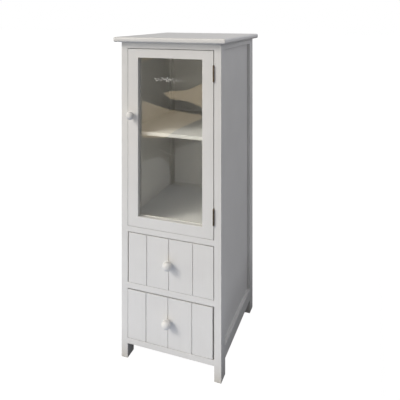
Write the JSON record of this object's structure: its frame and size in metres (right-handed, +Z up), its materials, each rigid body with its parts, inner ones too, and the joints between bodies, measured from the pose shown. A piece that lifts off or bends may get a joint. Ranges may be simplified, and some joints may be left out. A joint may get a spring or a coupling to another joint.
{
  "type": "apothecary cabinet",
  "caption": "Tall narrow painted wooden cabinet with a glazed hinged door over a shelf, and grooved drawers below, for medicines and toiletries.",
  "frame": {"origin": "on the floor, under the centre of the overall bounding box, knobs and top overhang included", "axes": "+Z up, -Y out of the front, +X to the hinge side, which is the right side seen from the front"},
  "size_m": [0.37, 0.421, 1.01],
  "materials": {
    "white_paint": "off-white satin paint on wood",
    "bare_pine": "planed bare pine",
    "plywood": "sanded bare plywood",
    "clear_glass": "clear polished",
    "aged_brass": "dark antique brass plating",
    "zinc_steel": "bright zinc plating",
    "grey_plastic": "matt moulded"
  },
  "bodies": {
    "carcass": {"leg_front_left": "white_paint", "leg_front_right": "white_paint", "leg_rear_left": "white_paint", "leg_rear_right": "white_paint", "top_board": "white_paint", "front_rail_bottom": "white_paint", "front_rail_divider": "white_paint", "front_rail_middle": "white_paint", "front_rail_top": "white_paint", "side_rail_bottom_left": "white_paint", "side_rail_bottom_right": "white_paint", "side_rail_top_left": "white_paint", "side_rail_top_right": "white_paint", "side_panel_left": "white_paint", "side_panel_right": "white_paint", "back_rail_bottom": "white_paint", "back_rail_middle": "white_paint", "back_rail_top": "white_paint", "back_panel": "white_paint", "cupboard_floor": "white_paint", "shelf": "white_paint", "shelf_strip_left": "white_paint", "shelf_strip_right": "white_paint", "upper_runner_left": "bare_pine", "upper_runner_right": "bare_pine", "lower_runner_left": "bare_pine", "lower_runner_right": "bare_pine", "catch_body": "grey_plastic", "hinge_upper_frame_leaf": "aged_brass", "hinge_lower_frame_leaf": "aged_brass", "hinge_upper_pin": "aged_brass", "hinge_lower_pin": "aged_brass"},
    "door": {"door_stile_left": "white_paint", "door_stile_right": "white_paint", "door_rail_bottom": "white_paint", "door_rail_top": "white_paint", "door_glass": "clear_glass", "glass_bead_bottom": "white_paint", "glass_bead_left": "white_paint", "glass_bead_right": "white_paint", "glass_bead_top": "white_paint", "door_knob": "white_paint", "door_knob_screw": "zinc_steel", "catch_strike_plate": "zinc_steel", "hinge_upper_door_leaf": "aged_brass", "hinge_lower_door_leaf": "aged_brass"},
    "upper_drawer": {"upper_drawer_front": "white_paint", "upper_drawer_side_left": "bare_pine", "upper_drawer_side_right": "bare_pine", "upper_drawer_back": "bare_pine", "upper_drawer_bottom": "plywood", "upper_drawer_knob": "white_paint", "upper_drawer_knob_screw": "zinc_steel"},
    "lower_drawer": {"lower_drawer_front": "white_paint", "lower_drawer_side_left": "bare_pine", "lower_drawer_side_right": "bare_pine", "lower_drawer_back": "bare_pine", "lower_drawer_bottom": "plywood", "lower_drawer_knob": "white_paint", "lower_drawer_knob_screw": "zinc_steel"}
  },
  "joints": [
    {"name": "door_hinge", "type": "hinge", "parent": "carcass", "child": "door", "pos_m": [0.14185, -0.1852, 0.6955], "axis": [0, 0, 1], "range_deg": [0, 170]},
    {"name": "upper_drawer_slide", "type": "slide", "parent": "carcass", "child": "upper_drawer", "axis": [0, -1, 0], "range_m": [0, 0.25]},
    {"name": "lower_drawer_slide", "type": "slide", "parent": "carcass", "child": "lower_drawer", "axis": [0, -1, 0], "range_m": [0, 0.25]}
  ]
}
